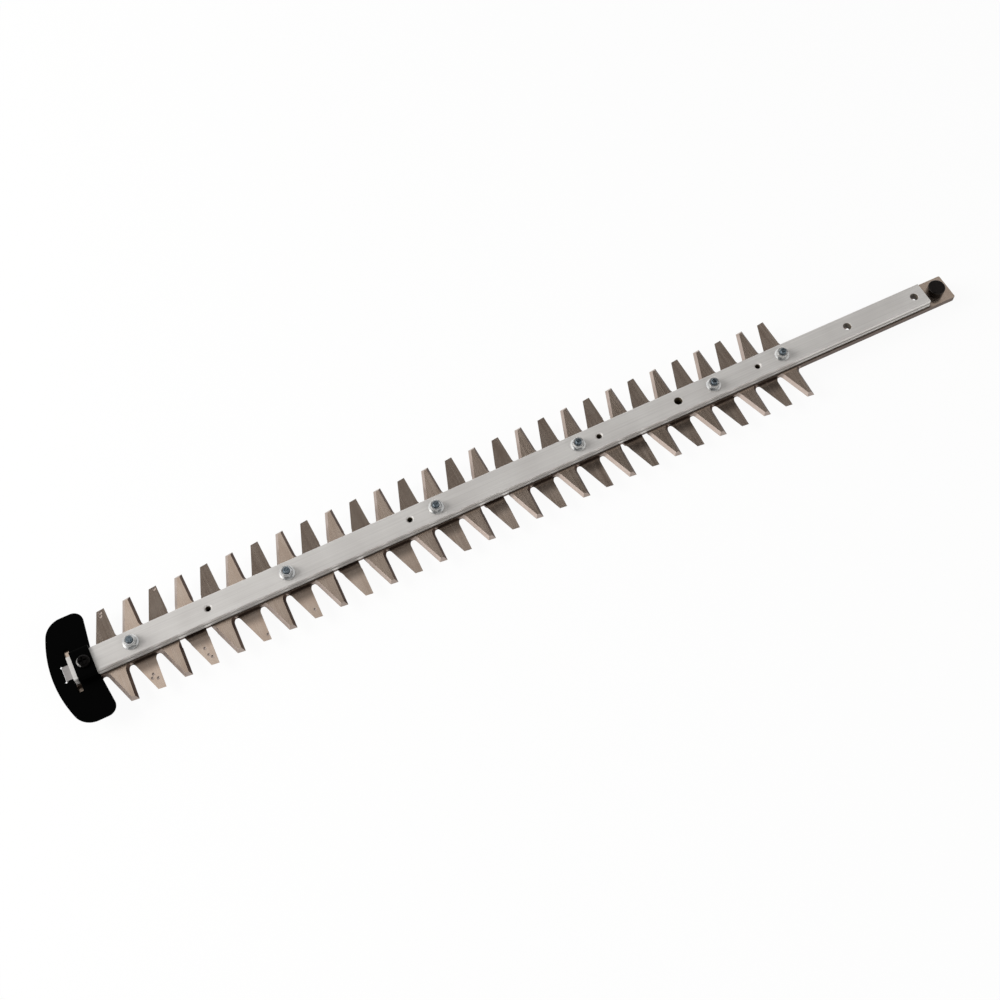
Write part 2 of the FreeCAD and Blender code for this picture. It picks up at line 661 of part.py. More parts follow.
tip_guard = build_tip_guard("tip_guard")
place(tip_guard, x=guard_screw)
tip_guard_screw = build_guard_screw("tip_guard_screw")
place(tip_guard_screw, x=guard_screw, z=strap_top)

bushes = []
for number, x in enumerate(bolts, start=1):
    bush = build_ring(f"guide_bush_{number}", "sizes.bush_diameter", f"-{washer_top}")
    place(bush, x=x, z=washer_top)
    bushes.append(bush)

blade_bolts = group_at_bolts("blade_bolts", build_bolt(), washer_bottom, turn_step=sizes["bolt_turn"])
flange_nuts = group_at_bolts("flange_nuts", build_nut(), "sizes.bar_thickness", turn_step=sizes["nut_turn"])
one_washer = build_ring("washer", "sizes.washer_diameter", "sizes.washer_thickness")
blade_washers = group_at_bolts("blade_washers", one_washer, washer_bottom)
doc.recompute()

for item in doc.Objects:
    assert "Invalid" not in item.State and "Error" not in item.State, f"{item.Name} failed"

pieces = [guide_bar, upper_blade, lower_blade, upper_drive_pin, lower_drive_pin, tip_guard,
          tip_guard_screw, blade_bolts, flange_nuts, blade_washers, *bushes]
for piece in pieces:
    assert not piece.Shape.isNull() and piece.Shape.isValid(), f"{piece.Label} has no valid shape"

os.makedirs("parts", exist_ok=True)
for piece in pieces:
    piece.Shape.exportStep(f"parts/{piece.Label}.step")
    box = piece.Shape.BoundBox
    print(f"{piece.Label}: {len(piece.Shape.Solids)} solids, {piece.Shape.Volume:.0f} mm3, "
          f"x {box.XMin:.1f}..{box.XMax:.1f}, y {box.YMin:.1f}..{box.YMax:.1f}, "
          f"z {box.ZMin:.2f}..{box.ZMax:.2f}")
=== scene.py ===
import math

import bmesh
import bpy
from mathutils import Matrix, Vector


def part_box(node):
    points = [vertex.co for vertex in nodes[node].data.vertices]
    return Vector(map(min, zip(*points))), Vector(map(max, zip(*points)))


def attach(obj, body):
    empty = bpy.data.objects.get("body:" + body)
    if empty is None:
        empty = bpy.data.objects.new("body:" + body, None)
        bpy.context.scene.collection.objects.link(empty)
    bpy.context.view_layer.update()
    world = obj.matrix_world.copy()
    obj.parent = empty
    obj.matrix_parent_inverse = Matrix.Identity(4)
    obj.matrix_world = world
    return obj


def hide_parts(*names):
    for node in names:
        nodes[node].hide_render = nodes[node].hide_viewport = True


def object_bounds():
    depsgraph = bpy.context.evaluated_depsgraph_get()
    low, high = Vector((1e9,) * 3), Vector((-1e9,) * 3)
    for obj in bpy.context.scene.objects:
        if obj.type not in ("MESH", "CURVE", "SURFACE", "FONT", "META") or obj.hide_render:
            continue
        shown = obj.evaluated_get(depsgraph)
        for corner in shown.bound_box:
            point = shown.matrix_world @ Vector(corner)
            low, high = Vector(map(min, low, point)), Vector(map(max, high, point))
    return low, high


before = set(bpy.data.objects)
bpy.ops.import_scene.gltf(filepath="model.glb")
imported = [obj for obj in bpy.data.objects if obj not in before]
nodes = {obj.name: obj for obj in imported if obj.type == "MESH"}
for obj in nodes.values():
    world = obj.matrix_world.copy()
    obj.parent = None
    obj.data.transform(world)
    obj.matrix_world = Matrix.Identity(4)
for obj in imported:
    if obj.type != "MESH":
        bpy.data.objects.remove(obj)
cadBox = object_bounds()
mm = 0.001  # lengths of materials and pieces below are in millimetres, those of the studio in metres
sharpEdge = math.radians(25)  # edges that turn more than this are rounded
print("frame loaded:", len(nodes), "nodes")


# small tools

def fromHex(code):
    channels = [int(code[i:i + 2], 16) / 255 for i in (1, 3, 5)]
    return (*[c / 12.92 if c <= 0.04045 else ((c + 0.055) / 1.055) ** 2.4 for c in channels], 1.0)


def grain(*sizesMm):
    # texture scale at which one grain is this many millimetres
    scales = [1 / (size * mm) for size in sizesMm]
    return scales if len(scales) > 1 else scales[0]


def addNode(tree, kind, links=None, **settings):
    # links: input name or number to a value or to another node's output
    node = tree.nodes.new(kind)
    for name, value in settings.items():
        setattr(node, name, value)
    for key, value in (links or {}).items():
        if isinstance(value, bpy.types.NodeSocket):
            tree.links.new(value, node.inputs[key])
        else:
            node.inputs[key].default_value = value
    return node


def newMaterial(name, **sockets):
    material = bpy.data.materials.new(name)
    material.use_nodes = True
    tree = material.node_tree
    shader = tree.nodes["Principled BSDF"]
    place = addNode(tree, "ShaderNodeTexCoord").outputs["Object"]
    for socket, value in sockets.items():
        shader.inputs[socket.replace("_", " ")].default_value = value
    return material, tree, shader, place


# materials

# where most of a noise texture's values lie: fine lines, clouds, and the two added together
lineSpread, cloudSpread, sumSpread = (0.25, 0.75), (0.3, 0.7), (0.7, 1.3)

# the last keys paint shade: the bar's wall darkens towards the corner over the ledge
barFinish = {"dark": "#CFCBC7", "light": "#DFDCD8", "metallic": 0.42, "roughness": (0.40, 0.48),
             "drawLine": 0.9, "drawLength": 90, "cloud": 30,
             "bump": 0.12, "bumpDepth": 0.01,
             "paintedCornerShade": "#5E5853", "cornerShadeShare": 0.35, "cornerShadeFrom": 3.9, "cornerShadeTo": 3.05, "ledge": 2.9}
# the bar's tongue in the guard's notch: the bar's finish made darker, as painted shade from the guard round it
tongueFinish = {**barFinish, "dark": "#8E8A88", "light": "#A09C9A", "cornerShadeShare": 0.0}


def satinAnodisedAluminium(name, f):
    # extruded, blasted and clear anodised: pale grey and satin under a milky oxide, so it is half metal
    # and half chalk to the eye, with faint draw lines along the bar and painted shade darkening the corner over
    # the ledge.
    # Real draw lines are about 0.2 mm apart and are drawn coarser, so that they show.
    material, tree, shader, place = newMaterial(name, Metallic=f["metallic"])
    drawn = addNode(tree, "ShaderNodeMapping", {
        "Vector": place, "Scale": grain(f["drawLength"], f["drawLine"], f["drawLine"])}).outputs[0]
    lines = addNode(tree, "ShaderNodeTexNoise", {
        "Vector": drawn, "Scale": 1.0, "Detail": 3.0}).outputs["Fac"]
    clouds = addNode(tree, "ShaderNodeTexNoise", {
        "Vector": place, "Scale": grain(f["cloud"])}).outputs["Fac"]
    both = addNode(tree, "ShaderNodeMath", {0: lines, 1: clouds}, operation="ADD").outputs[0]
    shade = addNode(tree, "ShaderNodeMapRange", {
        "Value": both, "From Min": sumSpread[0], "From Max": sumSpread[1]}).outputs[0]
    colour = addNode(tree, "ShaderNodeMix", {
        "Factor": shade, "A": fromHex(f["dark"]), "B": fromHex(f["light"])}, data_type="RGBA").outputs["Result"]
    # painted shade: darker towards the corner over the ledge, where shade falls
    height = addNode(tree, "ShaderNodeSeparateXYZ", {0: place}).outputs["Z"]
    inCorner = addNode(tree, "ShaderNodeMapRange", {
        "Value": height, "From Min": f["cornerShadeFrom"] * mm, "From Max": f["cornerShadeTo"] * mm,
        "To Max": f["cornerShadeShare"]}, interpolation_type="SMOOTHSTEP").outputs[0]
    overLedge = addNode(tree, "ShaderNodeMath", {
        0: height, 1: f["ledge"] * mm}, operation="GREATER_THAN").outputs[0]
    paintedCornerShade = addNode(tree, "ShaderNodeMath", {0: inCorner, 1: overLedge}, operation="MULTIPLY").outputs[0]
    colour = addNode(tree, "ShaderNodeMix", {
        "Factor": paintedCornerShade, "A": colour, "B": fromHex(f["paintedCornerShade"])}, data_type="RGBA").outputs["Result"]
    tree.links.new(colour, shader.inputs["Base Color"])
    satin = addNode(tree, "ShaderNodeMapRange", {
        "Value": lines, "From Min": lineSpread[0], "From Max": lineSpread[1],
        "To Min": f["roughness"][0], "To Max": f["roughness"][1]}).outputs[0]
    tree.links.new(satin, shader.inputs["Roughness"])
    bump = addNode(tree, "ShaderNodeBump", {
        "Height": lines, "Strength": f["bump"], "Distance": f["bumpDepth"] * mm})
    tree.links.new(bump.outputs[0], shader.inputs["Normal"])
    return material


# the walls of the bar's holes, dark as painted shade
boreFinish = {"dark": "#2E271F", "light": "#7A6E5C", "roughness": 0.5, "mark": 0.35, "wide": 8}


def shadedBore():
    # drilled aluminium, dull, dark and brown inside as painted shade in the holes, with rings left by the drill
    f = boreFinish
    material, tree, shader, place = newMaterial("shadedBore", Roughness=f["roughness"])
    drilled = addNode(tree, "ShaderNodeMapping", {
        "Vector": place, "Scale": grain(f["wide"], f["wide"], f["mark"])}).outputs[0]
    rings = addNode(tree, "ShaderNodeTexNoise", {
        "Vector": drilled, "Scale": 1.0, "Detail": 2.0}).outputs["Fac"]
    colour = addNode(tree, "ShaderNodeMix", {
        "Factor": rings, "A": fromHex(f["dark"]), "B": fromHex(f["light"])}, data_type="RGBA").outputs["Result"]
    tree.links.new(colour, shader.inputs["Base Color"])
    return material


bareFace = {"dark": "#C7B2A1", "light": "#D6C3B3", "roughness": (0.24, 0.29), "bump": 0.05}
bladeFinish = {"brushLine": 1.6, "brushLength": 45, "cloud": 14, "metallic": 0.97, "bumpDepth": 0.01,
               # painted shade: the dark colour laid along the bar's edge and towards the near teeth's roots
               "paintedShadeColour": "#2A211C",
               "outer": {**bareFace, "paintedShadeFrom": 11.0, "paintedShadeTo": 12.6, "paintedShadeShare": 0.86, "paintedShadeTail": (41.0, 46.0)},
               "under": bareFace,
               "cutting": {"dark": "#C6B09F", "light": "#DBC8B8", "roughness": (0.23, 0.28), "bump": 0.05,
                           "paintedShadeFrom": 17.0, "paintedShadeTo": 25.0, "paintedShadeShare": 0.62, "lean": (8.4, 1.6)},
               "bevel": {"dark": "#AFA096", "light": "#BEAFA6", "roughness": (0.30, 0.36), "bump": 0.02},
               "stampedAndShaded": {"dark": "#4A3C35", "light": "#6B5A50", "roughness": (0.36, 0.5), "bump": 0.1}}


def nickelledSteel(name, f):
    # nickel over ground spring steel: warm grey and half mirror, with grinding lines along the teeth.
    # The real grit is about 0.1 mm and is drawn coarser, so that the lines show.
    material, tree, shader, place = newMaterial(name, Metallic=bladeFinish["metallic"])
    line = bladeFinish["brushLine"]
    ground = addNode(tree, "ShaderNodeMapping", {
        "Vector": place, "Scale": grain(line, bladeFinish["brushLength"], line)}).outputs[0]
    lines = addNode(tree, "ShaderNodeTexNoise", {
        "Vector": ground, "Scale": 1.0, "Detail": 2.0}).outputs["Fac"]
    clouds = addNode(tree, "ShaderNodeTexNoise", {
        "Vector": place, "Scale": grain(bladeFinish["cloud"])}).outputs["Fac"]
    both = addNode(tree, "ShaderNodeMath", {0: lines, 1: clouds}, operation="ADD").outputs[0]
    shade = addNode(tree, "ShaderNodeMapRange", {
        "Value": both, "From Min": sumSpread[0], "From Max": sumSpread[1]}).outputs[0]
    colour = addNode(tree, "ShaderNodeMix", {
        "Factor": shade, "A": fromHex(f["dark"]), "B": fromHex(f["light"])}, data_type="RGBA").outputs["Result"]
    polish = addNode(tree, "ShaderNodeMapRange", {
        "Value": lines, "From Min": lineSpread[0], "From Max": lineSpread[1],
        "To Min": f["roughness"][0], "To Max": f["roughness"][1]}).outputs[0]
    tree.links.new(polish, shader.inputs["Roughness"])
    bump = addNode(tree, "ShaderNodeBump", {
        "Height": lines, "Strength": f["bump"], "Distance": bladeFinish["bumpDepth"] * mm})
    where = addNode(tree, "ShaderNodeSeparateXYZ", {0: place}).outputs
    if "paintedShadeShare" in f:
        # painted shade: darker along and under the bar's edge, and towards the roots of the cutting faces on
        # the near side, where the bar and the other blade shade them
        across = addNode(tree, "ShaderNodeMath", {0: where["Y"]}, operation="ABSOLUTE").outputs[0]
        paintedShadeMask = addNode(tree, "ShaderNodeMapRange", {
            "Value": across, "From Min": f["paintedShadeFrom"] * mm, "From Max": f["paintedShadeTo"] * mm,
            "To Min": f["paintedShadeShare"], "To Max": 0.0}, interpolation_type="SMOOTHSTEP").outputs[0]
        if "paintedShadeTail" in f:
            kept = addNode(tree, "ShaderNodeMapRange", {
                "Value": where["X"], "From Min": f["paintedShadeTail"][0] * mm, "From Max": f["paintedShadeTail"][1] * mm,
                "To Min": 1.0, "To Max": 0.0}, interpolation_type="SMOOTHSTEP").outputs[0]
        else:
            kept = addNode(tree, "ShaderNodeMath", {0: where["Y"], 1: 0.0}, operation="LESS_THAN").outputs[0]
        paintedShadeMask = addNode(tree, "ShaderNodeMath", {0: paintedShadeMask, 1: kept}, operation="MULTIPLY").outputs[0]
        colour = addNode(tree, "ShaderNodeMix", {
            "Factor": paintedShadeMask, "A": colour, "B": fromHex(bladeFinish["paintedShadeColour"])}, data_type="RGBA").outputs["Result"]
    if "lean" in f:
        # in the shading alone: the faces mirror the room as if they leaned by these angles, far and near side
        onFar = addNode(tree, "ShaderNodeMath", {0: where["Y"], 1: 0.0}, operation="GREATER_THAN").outputs[0]
        far, near = [math.tan(math.radians(angle)) for angle in f["lean"]]
        tilt = addNode(tree, "ShaderNodeMapRange", {"Value": onFar, "To Min": near, "To Max": -far}).outputs[0]
        shift = addNode(tree, "ShaderNodeCombineXYZ", {"Y": tilt}).outputs[0]
        facing = addNode(tree, "ShaderNodeNewGeometry").outputs["Normal"]
        leaning = addNode(tree, "ShaderNodeVectorMath", {0: facing, 1: shift}, operation="ADD").outputs[0]
        unit = addNode(tree, "ShaderNodeVectorMath", {0: leaning}, operation="NORMALIZE").outputs[0]
        tree.links.new(unit, bump.inputs["Normal"])
    tree.links.new(colour, shader.inputs["Base Color"])
    tree.links.new(bump.outputs[0], shader.inputs["Normal"])
    return material


guardFinish = {"colour": "#030303", "shine": 0.014, "peel": 0.8, "roughness": (0.36, 0.5),
               "bump": 0.25, "bumpDepth": 0.05}


def blackPowderCoat():
    # baked powder over pressed steel: deep black, faintly pebbled, with hardly any shine
    f = guardFinish
    material, tree, shader, place = newMaterial("blackPowderCoat", Specular_IOR_Level=f["shine"])
    shader.inputs["Base Color"].default_value = fromHex(f["colour"])
    peel = addNode(tree, "ShaderNodeTexNoise", {"Vector": place, "Scale": grain(f["peel"])}).outputs["Fac"]
    gloss = addNode(tree, "ShaderNodeMapRange", {
        "Value": peel, "From Min": lineSpread[0], "From Max": lineSpread[1],
        "To Min": f["roughness"][0], "To Max": f["roughness"][1]}).outputs[0]
    tree.links.new(gloss, shader.inputs["Roughness"])
    bump = addNode(tree, "ShaderNodeBump", {
        "Height": peel, "Strength": f["bump"], "Distance": f["bumpDepth"] * mm})
    tree.links.new(bump.outputs[0], shader.inputs["Normal"])
    return material


# electroplated zinc with a clear passivation: bright, and cloudy at close range
zincFinish = {"dark": "#CACBCC", "light": "#E2E1DE", "roughness": (0.18, 0.32), "cloud": 4.0}
studFinish = {"dark": "#4E5962", "light": "#8E989E", "roughness": (0.2, 0.34), "cloud": 1.2}
# hardened and blackened steel: near black, but smooth enough to mirror what is beside it,
# and a lighter copy for the painted highlight on the screw's rim
oxideFinish = {"dark": "#242120", "light": "#322E2C", "roughness": (0.14, 0.26), "cloud": 1.5}
screwFinish = {**oxideFinish, "dark": "#0E0D0D", "light": "#1C1A19", "roughness": (0.3, 0.42)}
# a painted highlight: the screw's rim, lighter where it faces the key lamp
rimHighlightFinish = {**oxideFinish, "dark": "#4A4846", "light": "#A5A3A0", "cloud": 1.0}


def bathFinishedSteel(name, f):
    # plated or blackened in a bath, which leaves faint clouds in colour and in gloss
    material, tree, shader, place = newMaterial(name, Metallic=1.0)
    clouds = addNode(tree, "ShaderNodeTexNoise", {
        "Vector": place, "Scale": grain(f["cloud"]), "Detail": 3.0}).outputs["Fac"]
    shade = addNode(tree, "ShaderNodeMapRange", {
        "Value": clouds, "From Min": cloudSpread[0], "From Max": cloudSpread[1]}).outputs[0]
    colour = addNode(tree, "ShaderNodeMix", {
        "Factor": shade, "A": fromHex(f["dark"]), "B": fromHex(f["light"])}, data_type="RGBA").outputs["Result"]
    tree.links.new(colour, shader.inputs["Base Color"])
    gloss = addNode(tree, "ShaderNodeMapRange", {
        "Value": clouds, "From Min": cloudSpread[0], "From Max": cloudSpread[1],
        "To Min": f["roughness"][0], "To Max": f["roughness"][1]}).outputs[0]
    tree.links.new(gloss, shader.inputs["Roughness"])
    return material


outerSlot, cuttingSlot, bevelSlot, stampedAndShadedSlot = range(4)  # the order of a blade's materials
aluminium = satinAnodisedAluminium("satinAnodisedAluminium", barFinish)
# painted shade: the tongue's darker copy of the bar's finish
guardShadedAluminium = satinAnodisedAluminium("guardShadedAluminium", tongueFinish)
bore = shadedBore()
bladeMaterials = [nickelledSteel("nickelledSteelFace", bladeFinish["outer"]),
                  nickelledSteel("nickelledSteelCuttingFace", bladeFinish["cutting"]),
                  nickelledSteel("groundSteelBevel", bladeFinish["bevel"]),
                  nickelledSteel("stampedEdgeAndShadedBevel", bladeFinish["stampedAndShaded"])]
underside = nickelledSteel("nickelledSteelUnderside", bladeFinish["under"])
powderCoat = blackPowderCoat()
brightZinc = bathFinishedSteel("brightZinc", zincFinish)
dullZinc = bathFinishedSteel("dullZincThread", studFinish)
blackSteel = bathFinishedSteel("blackOxideSteel", oxideFinish)
dullBlackSteel = bathFinishedSteel("dullBlackOxideSteel", screwFinish)
rimHighlightSteel = bathFinishedSteel("blackOxideSteelRimHighlight", rimHighlightFinish)
print("materials made:", len(bpy.data.materials))


# pieces

def weldedCopy(nodeName, roundMm=0.0, steps=2):
    # the node's faces in a mesh of their own, joined along their edges, with sharp edges rounded if asked for
    shape = bmesh.new()
    shape.from_mesh(nodes[nodeName].data)
    bmesh.ops.remove_doubles(shape, verts=shape.verts, dist=0.001 * mm)
    if roundMm:
        shape.normal_update()
        sharp = [e for e in shape.edges if e.is_manifold and e.calc_face_angle() > sharpEdge]
        bmesh.ops.bevel(shape, geom=sharp, offset=roundMm * mm, segments=steps, profile=0.5, affect="EDGES")
    shape.normal_update()
    return shape


def newPiece(name, shape, materials, body, replaced, sharpAngle=30):
    mesh = bpy.data.meshes.new(name)
    shape.verts.index_update()
    mesh.from_pydata([v.co for v in shape.verts], [], [[v.index for v in face.verts] for face in shape.faces])
    mesh.polygons.foreach_set("material_index", [face.material_index for face in shape.faces])
    shape.free()
    for material in materials:
        mesh.materials.append(material)
    mesh.shade_smooth()
    mesh.set_sharp_from_angle(angle=math.radians(sharpAngle))
    piece = bpy.data.objects.new(name, mesh)
    level = piece.modifiers.new("levelShading", "WEIGHTED_NORMAL")  # flat faces stay flat beside round edges
    level.keep_sharp = True
    level.weight = 100
    bpy.context.scene.collection.objects.link(piece)
    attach(piece, body)
    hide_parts(replaced)
    return piece


def dressNode(nodeName, material):
    slots = nodes[nodeName].data.materials
    slots.clear()
    slots.append(material)


# pits in the lower blade's cutting face, as x and y of their middles
pits = {"radius": 1.25, "depth": 0.35, "rounds": 32, "rows": 20,
        "places": [(-631.1, -25.7), (-632.7, -28.3), (-628.9, -30.0), (-591.5, -23.7), (-590.6, -29.5),
                   (-588.8, -32.0), (-546.9, -34.0), (-509.2, -31.2), (-649.4, 35.9), (-650.2, 33.2),
                   (-607.9, 36.4)]}


def pressPits(blade, faceHeight):
    # a shallow cap of a ball is cut out of the blade at each place
    ball = (pits["radius"] ** 2 + pits["depth"] ** 2) / (2 * pits["depth"])
    balls = bmesh.new()
    for x, y in pits["places"]:
        centre = Matrix.Translation(Vector((x, y, faceHeight + ball - pits["depth"])) * mm)
        bmesh.ops.create_uvsphere(balls, u_segments=pits["rounds"], v_segments=pits["rows"],
                                  radius=ball * mm, matrix=centre)
    for face in balls.faces:
        face.material_index = bevelSlot
    mesh = bpy.data.meshes.new("pitBalls")
    balls.to_mesh(mesh)
    balls.free()
    for material in blade.data.materials:
        mesh.materials.append(material)
    cutter = bpy.data.objects.new("pitBalls", mesh)
    bpy.context.scene.collection.objects.link(cutter)
    cut = blade.modifiers.new("pits", "BOOLEAN")
    cut.operation = "DIFFERENCE"
    cut.solver = "EXACT"
    cut.use_self = True
    cut.object = cutter
    ready = blade.evaluated_get(bpy.context.evaluated_depsgraph_get())
    pitted = bpy.data.meshes.new_from_object(ready)
    blade.modifiers.remove(cut)
    blade.data = pitted
    bpy.data.objects.remove(cutter)


# how far a face's normal leans, for telling the blades' flats, ground bevels and stamped edges apart; ground
# bevels that face the tail get the dark stamped finish as painted shade
bladeFaces = {"flat": 0.99, "upright": 0.3, "tail": 0.4}
for bladeName, outwards in (("upper_blade", 1), ("lower_blade", -1)):
    shape = weldedCopy(bladeName)
    for face in shape.faces:
        facing = face.normal.z * outwards
        if facing > bladeFaces["flat"]:
            face.material_index = outerSlot
        elif facing < -bladeFaces["flat"]:
            face.material_index = cuttingSlot
        # bevels facing the tail: painted shade, with the stamped edges' dark finish
        elif face.normal.x > bladeFaces["tail"] or abs(facing) < bladeFaces["upright"]:
            face.material_index = stampedAndShadedSlot
        else:
            face.material_index = bevelSlot
    outerFace = bladeMaterials[outerSlot] if bladeName == "upper_blade" else underside
    blade = newPiece(bladeName.replace("_", "-"), shape, [outerFace, *bladeMaterials[1:]],
                     bladeName.replace("blade", "cutter"), bladeName)
    if bladeName == "lower_blade":
        pressPits(blade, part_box(bladeName)[1].z / mm)
print("blades made")

barShape = {"tongue": 5.4, "margin": 1.0, "boreReach": 4.0, "upright": 0.3, "slack": 0.01,
            "longEdge": 20, "roundMm": 0.25, "roundSteps": 3}
shape = weldedCopy("guide_bar")
longEdges = [e for e in shape.edges if e.calc_length() > barShape["longEdge"] * mm and e.is_convex
             and e.calc_face_angle() > sharpEdge]
bmesh.ops.bevel(shape, geom=longEdges, offset=barShape["roundMm"] * mm, segments=barShape["roundSteps"],
                profile=0.5, affect="EDGES")
shape.normal_update()
barLow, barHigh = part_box("guide_bar")
for face in shape.faces:
    middle = face.calc_center_median() / mm
    front = barLow.x / mm + barShape["tongue"]
    inside = front + barShape["margin"] < middle.x < barHigh.x / mm - barShape["margin"]
    inBore = abs(face.normal.z) < barShape["upright"] and inside and abs(middle.y) < barShape["boreReach"]
    face.material_index = 1 if inBore else 2 if middle.x < front - barShape["slack"] else 0
newPiece("guide-bar", shape, [aluminium, bore, guardShadedAluminium], "guide", "guide_bar")
print("bar made")

# a coarse metric thread on the bolts' ends, from just inside the nuts
thread = {"pitch": 0.8, "crest": 2.48, "root": 2.02, "low": 9.0, "chamfer": 0.55, "steep": 1.2,
          "sides": 48, "rowsPerTurn": 10, "boltsApart": 10, "slack": 0.01}


def addThreadedEnd(shape, x, top):
    t = thread
    rows = round((top - t["low"]) / t["pitch"] * t["rowsPerTurn"])
    rings = []
    for row in range(rows + 1):
        z = t["low"] + (top - t["low"]) * row / rows
        limit = t["crest"] - max(0.0, z - top + t["chamfer"])
        ring = []
        for side in range(t["sides"]):
            share = side / t["sides"]
            flank = abs(2 * ((z / t["pitch"] - share) % 1) - 1)
            radius = min(limit, t["root"] + (t["crest"] - t["root"]) * min(1.0, t["steep"] * flank))
            turn = 2 * math.pi * share
            corner = Vector((x + radius * math.cos(turn), radius * math.sin(turn), z))
            ring.append(shape.verts.new(corner * mm))
        rings.append(ring)
    for lower, upper in zip(rings, rings[1:]):
        for a in range(t["sides"]):
            b = (a + 1) % t["sides"]
            shape.faces.new((lower[a], lower[b], upper[b], upper[a])).material_index = 1
    shape.faces.new(rings[-1]).material_index = 1
    shape.faces.new(list(reversed(rings[0]))).material_index = 1


shape = weldedCopy("blade_bolts")
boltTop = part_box("blade_bolts")[1].z / mm
cutHeight = Vector((0, 0, thread["low"] * mm))
tops = [v.co.x / mm for v in shape.verts if v.co.z / mm > boltTop - thread["slack"]]
boltPlaces = []
for x in sorted(tops):
    if not boltPlaces or x - boltPlaces[-1][0] > thread["boltsApart"]:
        boltPlaces.append([x])
    else:
        boltPlaces[-1].append(x)
geometry = shape.verts[:] + shape.edges[:] + shape.faces[:]
bmesh.ops.bisect_plane(shape, geom=geometry, plane_co=cutHeight, plane_no=(0, 0, 1), clear_outer=True)
bmesh.ops.holes_fill(shape, edges=[e for e in shape.edges if e.is_boundary])
for xs in boltPlaces:
    addThreadedEnd(shape, (min(xs) + max(xs)) / 2, boltTop)
shape.normal_update()
newPiece("blade-bolts", shape, [brightZinc, dullZinc], "guide", "blade_bolts", sharpAngle=40)
print("bolts made:", len(boltPlaces))

roundedPieces = {"flange_nuts": {"roundMm": 0.1, "material": brightZinc, "body": "guide", "slot": "zinc_plate"},
                 "tip_guard": {"roundMm": 0.4, "material": powderCoat, "body": "guide", "slot": "black_paint"},
                 "upper_drive_pin": {"roundMm": 0.2, "material": blackSteel, "body": "upper_cutter",
                                     "slot": "black_steel"},
                 "lower_drive_pin": {"roundMm": 0.2, "material": blackSteel, "body": "lower_cutter",
                                     "slot": "black_steel"},
                 "blade_washers": {"roundMm": 0.15, "material": brightZinc, "body": "guide",
                                   "slot": "zinc_plate"}}
for nodeName, r in roundedPieces.items():
    newPiece(nodeName.replace("_", "-"), weldedCopy(nodeName, r["roundMm"]), [r["material"]],
             r["body"], nodeName, sharpAngle=40)

# painted highlight: the screw's rim is lighter on its front side, which faces the key lamp
screwRim = {"roundMm": 0.15, "from": 3.5, "front": -2.4, "slope": (0.35, 0.97)}
shape = weldedCopy("tip_guard_screw", screwRim["roundMm"])
low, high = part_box("tip_guard_screw")
for face in shape.faces:
    off = face.calc_center_median() - (low + high) / 2
    sloped = screwRim["slope"][0] < face.normal.z < screwRim["slope"][1]
    onRim = math.hypot(off.x, off.y) > screwRim["from"] * mm and off.x < screwRim["front"] * mm
    face.material_index = 1 if sloped and onRim else 0
newPiece("tip-guard-screw", shape, [dullBlackSteel, rimHighlightSteel], "guide", "tip_guard_screw",
         sharpAngle=40)

for nodeName in nodes:
    if nodeName.startswith("guide_bush"):
        dressNode(nodeName, dullZinc)


# studio

studio = {"floor": "#F4F4F2", "floorSize": 8.0, "floorGap": 0.0001, "floorWhite": 0.93,
          "wallAskew": 1.8, "wallFrom": -0.69, "wallTo": -0.785, "wallTop": (0.935, 0.91),
          "front": {"axis": "Y", "edge": (-0.3, -0.9), "light": 0.7},
          "right": {"axis": "X", "edge": (0.46, 0.52), "light": 0.65},
          "ceiling": {"axis": "Z", "edge": (0.9, 0.94), "light": 0.13},
          "windowWay": (-0.915, -0.05, 0.4), "windowEdge": (0.80, 0.93), "window": 0.75,
          "dim": 0.065, "diffuseLight": 0.27}


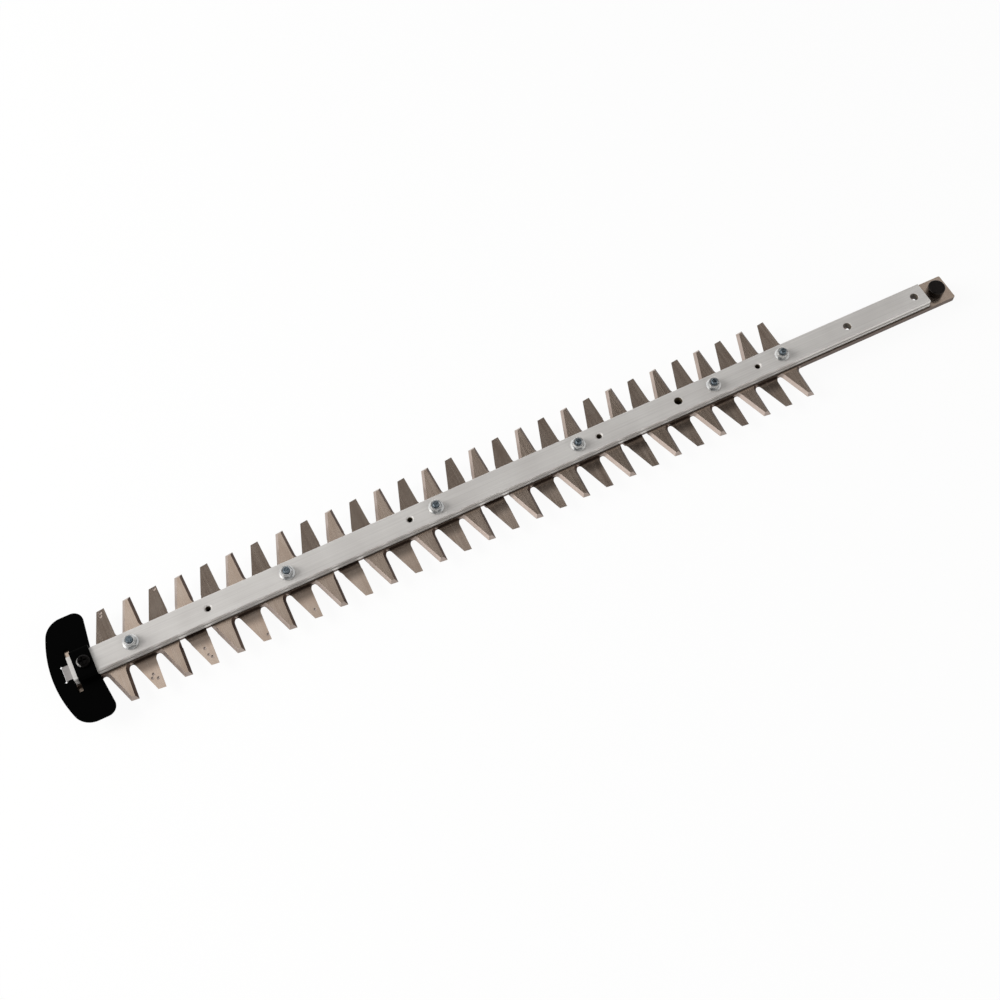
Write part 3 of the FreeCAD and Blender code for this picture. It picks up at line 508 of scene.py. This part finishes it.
def buildWorld():
    # a white room: a wall of soft light on the left and in front, dimmer overhead and to the right.
    # The camera sees plain white, and metal mirrors the room.
    s = studio
    world = bpy.data.worlds.new("studio")
    bpy.context.scene.world = world
    world.use_nodes = True
    tree = world.node_tree
    background = tree.nodes["Background"]
    sight = addNode(tree, "ShaderNodeTexCoord").outputs["Generated"]
    way = addNode(tree, "ShaderNodeSeparateXYZ", {0: sight})
    askew = addNode(tree, "ShaderNodeVectorMath", {
        0: sight, 1: (1, -s["wallAskew"], 0)}, operation="DOT_PRODUCT")
    left = addNode(tree, "ShaderNodeMapRange", {
        "Value": askew.outputs["Value"], "From Min": s["wallFrom"], "From Max": s["wallTo"]},
        interpolation_type="SMOOTHSTEP").outputs[0]
    under = addNode(tree, "ShaderNodeMapRange", {
        "Value": way.outputs["Z"], "From Min": s["wallTop"][0], "From Max": s["wallTop"][1]},
        interpolation_type="SMOOTHSTEP").outputs[0]
    lit = addNode(tree, "ShaderNodeMath", {0: left, 1: under}, operation="MULTIPLY").outputs[0]
    for side in (s["front"], s["right"], s["ceiling"]):
        other = addNode(tree, "ShaderNodeMapRange", {
            "Value": way.outputs[side["axis"]], "From Min": side["edge"][0], "From Max": side["edge"][1],
            "To Max": side["light"]}, interpolation_type="SMOOTHSTEP").outputs[0]
        lit = addNode(tree, "ShaderNodeMath", {0: lit, 1: other}, operation="MAXIMUM").outputs[0]
    room = addNode(tree, "ShaderNodeMapRange", {"Value": lit, "To Min": s["dim"], "To Max": 1.0}).outputs[0]
    # a window low in the left wall, which the teeth's ground bevels catch
    facing = addNode(tree, "ShaderNodeVectorMath", {0: sight, 1: s["windowWay"]}, operation="DOT_PRODUCT")
    window = addNode(tree, "ShaderNodeMapRange", {
        "Value": facing.outputs["Value"], "From Min": s["windowEdge"][0], "From Max": s["windowEdge"][1],
        "To Max": s["window"]}, interpolation_type="SMOOTHSTEP").outputs[0]
    room = addNode(tree, "ShaderNodeMath", {0: room, 1: window}, operation="ADD").outputs[0]
    rays = addNode(tree, "ShaderNodeLightPath").outputs
    soft = addNode(tree, "ShaderNodeMix", {
        "Factor": rays["Is Glossy Ray"], "A": s["diffuseLight"], "B": room}).outputs["Result"]
    seen = addNode(tree, "ShaderNodeMath", {
        0: rays["Is Camera Ray"], 1: rays["Is Transmission Ray"]}, operation="MAXIMUM").outputs[0]
    strength = addNode(tree, "ShaderNodeMix", {"Factor": seen, "A": soft, "B": 1.0}).outputs["Result"]
    background.inputs["Color"].default_value = (1, 1, 1, 1)
    tree.links.new(strength, background.inputs["Strength"])


def buildFloor():
    # pale paper: nearly white to the camera and to mirrors, with a little of the shadow kept round the part
    material = bpy.data.materials.new("palePaper")
    material.use_nodes = True
    tree = material.node_tree
    tree.nodes.clear()
    paper = addNode(tree, "ShaderNodeBsdfDiffuse", {"Color": fromHex(studio["floor"])})
    glow = addNode(tree, "ShaderNodeEmission", {"Strength": 1.0})
    rays = addNode(tree, "ShaderNodeLightPath").outputs
    mirrored = addNode(tree, "ShaderNodeMath", {
        0: rays["Is Glossy Ray"], 1: rays["Is Transmission Ray"]}, operation="MAXIMUM").outputs[0]
    seen = addNode(tree, "ShaderNodeMath", {
        0: rays["Is Camera Ray"], 1: mirrored}, operation="MAXIMUM").outputs[0]
    share = addNode(tree, "ShaderNodeMath", {0: seen, 1: studio["floorWhite"]}, operation="MULTIPLY").outputs[0]
    mix = addNode(tree, "ShaderNodeMixShader", {0: share, 1: paper.outputs[0], 2: glow.outputs[0]})
    addNode(tree, "ShaderNodeOutputMaterial", {0: mix.outputs[0]})
    shape = bmesh.new()
    bmesh.ops.create_grid(shape, x_segments=1, y_segments=1, size=studio["floorSize"] / 2)
    mesh = bpy.data.meshes.new("floor")
    shape.to_mesh(mesh)
    shape.free()
    mesh.materials.append(material)
    floor = bpy.data.objects.new("floor", mesh)
    floor.location = (0, 0, cadBox[0].z - studio["floorGap"])
    bpy.context.scene.collection.objects.link(floor)


lamps = {"key": {"place": (-2.4, 0.8, 1.1), "size": 1.6, "power": 80},
         "fill": {"place": (1.2, -2.4, 1.1), "size": 2.8, "power": 45}}
cameraView = {"aim": (-0.3496, -0.0126, 0.0), "azimuth": -26.65, "elevation": 62.33,
              "distance": 1.0464, "lens": 50, "sensor": 36}


def buildLamp(name, place, size, power):
    data = bpy.data.lights.new(name, "AREA")
    data.size = size
    data.energy = power
    lamp = bpy.data.objects.new(name, data)
    lamp.location = place
    lamp.visible_glossy = False  # metal mirrors the room alone, so that no lamp burns out on it
    lamp.rotation_euler = (Vector(cameraView["aim"]) - Vector(place)).to_track_quat("-Z", "Y").to_euler()
    bpy.context.scene.collection.objects.link(lamp)


def buildCamera():
    v = cameraView
    turn, rise = math.radians(v["azimuth"]), math.radians(v["elevation"])
    back = Vector((math.sin(turn) * math.cos(rise), -math.cos(turn) * math.cos(rise), math.sin(rise)))
    data = bpy.data.cameras.new("camera")
    data.lens = v["lens"]
    data.sensor_width = v["sensor"]
    camera = bpy.data.objects.new("camera", data)
    camera.location = Vector(v["aim"]) + back * v["distance"]
    camera.rotation_euler = (-back).to_track_quat("-Z", "Y").to_euler()
    bpy.context.scene.collection.objects.link(camera)
    bpy.context.scene.camera = camera


buildWorld()
buildFloor()
for lampName, lampSettings in lamps.items():
    buildLamp(lampName, **lampSettings)
buildCamera()
bpy.context.scene.view_settings.view_transform = "Standard"
print("studio built")
